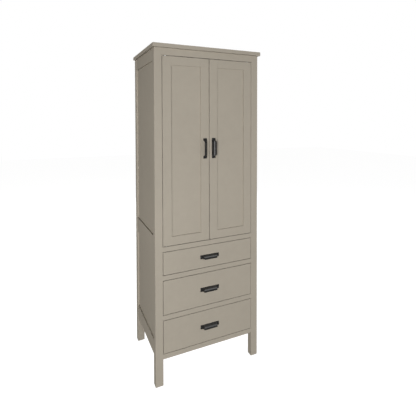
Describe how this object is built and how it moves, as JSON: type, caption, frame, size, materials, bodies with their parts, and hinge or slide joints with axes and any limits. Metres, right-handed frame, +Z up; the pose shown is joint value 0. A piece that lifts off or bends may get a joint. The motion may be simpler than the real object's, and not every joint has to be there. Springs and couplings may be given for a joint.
{
  "type": "pantry cabinet",
  "caption": "Tall pantry cabinet on post legs: a pair of framed doors over a shelved cupboard, flush drawers below, cup pulls and an overhanging flat top.",
  "frame": {"origin": "on the floor, midway across the width and the overall depth (slab back to pull fronts)", "axes": "+Z up; the doors and drawers face -Y; +X is to the right of a person facing the doors"},
  "size_m": [0.652, 0.476, 1.829],
  "materials": {
    "greige_paint": "satin paint over wood, smooth, slightly eased edges",
    "bare_wood": "clear lacquered birch",
    "black_metal": "satin black coating on cast metal",
    "zinc_steel": "bright zinc plate",
    "dark_plastic": "matte moulded plastic"
  },
  "bodies": {
    "cabinet": {"top_slab": "greige_paint", "post_front_left": "greige_paint", "post_front_right": "greige_paint", "post_back_left": "greige_paint", "post_back_right": "greige_paint", "top_rail": "greige_paint", "door_sill_rail": "greige_paint", "drawer_rails": "greige_paint", "front_bottom_rail": "greige_paint", "side_rails_left": "greige_paint", "side_rails_right": "greige_paint", "side_panel_left": "greige_paint", "side_panel_right": "greige_paint", "back_rails": "greige_paint", "back_panels": "greige_paint", "cupboard_floor": "greige_paint", "base_panel": "greige_paint", "lower_shelf": "greige_paint", "middle_shelf": "greige_paint", "upper_shelf": "greige_paint", "shelf_pins": "zinc_steel", "slide_cleats": "bare_wood", "slide_outers": "zinc_steel", "pivot_pins": "zinc_steel", "door_catches": "dark_plastic", "foot_glides": "dark_plastic"},
    "left_door": {"left_door_outer_stile": "greige_paint", "left_door_inner_stile": "greige_paint", "left_door_rails": "greige_paint", "left_door_panel": "greige_paint", "left_door_pull": "black_metal", "left_door_fittings": "zinc_steel"},
    "right_door": {"right_door_outer_stile": "greige_paint", "right_door_inner_stile": "greige_paint", "right_door_rails": "greige_paint", "right_door_panel": "greige_paint", "right_door_pull": "black_metal", "right_door_fittings": "zinc_steel"},
    "bottom_drawer": {"bottom_drawer_front": "greige_paint", "bottom_drawer_box": "bare_wood", "bottom_drawer_bottom": "bare_wood", "bottom_drawer_pull": "black_metal", "bottom_drawer_screws": "zinc_steel", "bottom_drawer_slide_inner": "zinc_steel"},
    "middle_drawer": {"middle_drawer_front": "greige_paint", "middle_drawer_box": "bare_wood", "middle_drawer_bottom": "bare_wood", "middle_drawer_pull": "black_metal", "middle_drawer_screws": "zinc_steel", "middle_drawer_slide_inner": "zinc_steel"},
    "top_drawer": {"top_drawer_front": "greige_paint", "top_drawer_box": "bare_wood", "top_drawer_bottom": "bare_wood", "top_drawer_pull": "black_metal", "top_drawer_screws": "zinc_steel", "top_drawer_slide_inner": "zinc_steel"},
    "bottom_slide": {"bottom_drawer_slide_middle": "zinc_steel"},
    "middle_slide": {"middle_drawer_slide_middle": "zinc_steel"},
    "top_slide": {"top_drawer_slide_middle": "zinc_steel"}
  },
  "joints": [
    {"name": "left_door_hinge", "type": "hinge", "parent": "cabinet", "child": "left_door", "pos_m": [-0.2512, -0.206, 0.751], "axis": [0, 0, -1], "range_deg": [0, 110]},
    {"name": "right_door_hinge", "type": "hinge", "parent": "cabinet", "child": "right_door", "pos_m": [0.2512, -0.206, 0.751], "axis": [0, 0, 1], "range_deg": [0, 110]},
    {"name": "bottom_drawer_slide", "type": "slide", "parent": "cabinet", "child": "bottom_drawer", "axis": [0, -1, 0], "range_m": [0, 0.34]},
    {"name": "middle_drawer_slide", "type": "slide", "parent": "cabinet", "child": "middle_drawer", "axis": [0, -1, 0], "range_m": [0, 0.34]},
    {"name": "top_drawer_slide", "type": "slide", "parent": "cabinet", "child": "top_drawer", "axis": [0, -1, 0], "range_m": [0, 0.34]},
    {"name": "bottom_slide_travel", "type": "slide", "parent": "cabinet", "child": "bottom_slide", "axis": [0, -1, 0], "range_m": [0, 0.17]},
    {"name": "middle_slide_travel", "type": "slide", "parent": "cabinet", "child": "middle_slide", "axis": [0, -1, 0], "range_m": [0, 0.17]},
    {"name": "top_slide_travel", "type": "slide", "parent": "cabinet", "child": "top_slide", "axis": [0, -1, 0], "range_m": [0, 0.17]}
  ],
  "couplings": [
    {"joint": "bottom_slide_travel", "follows": "bottom_drawer_slide", "ratio": 0.5},
    {"joint": "middle_slide_travel", "follows": "middle_drawer_slide", "ratio": 0.5},
    {"joint": "top_slide_travel", "follows": "top_drawer_slide", "ratio": 0.5}
  ]
}
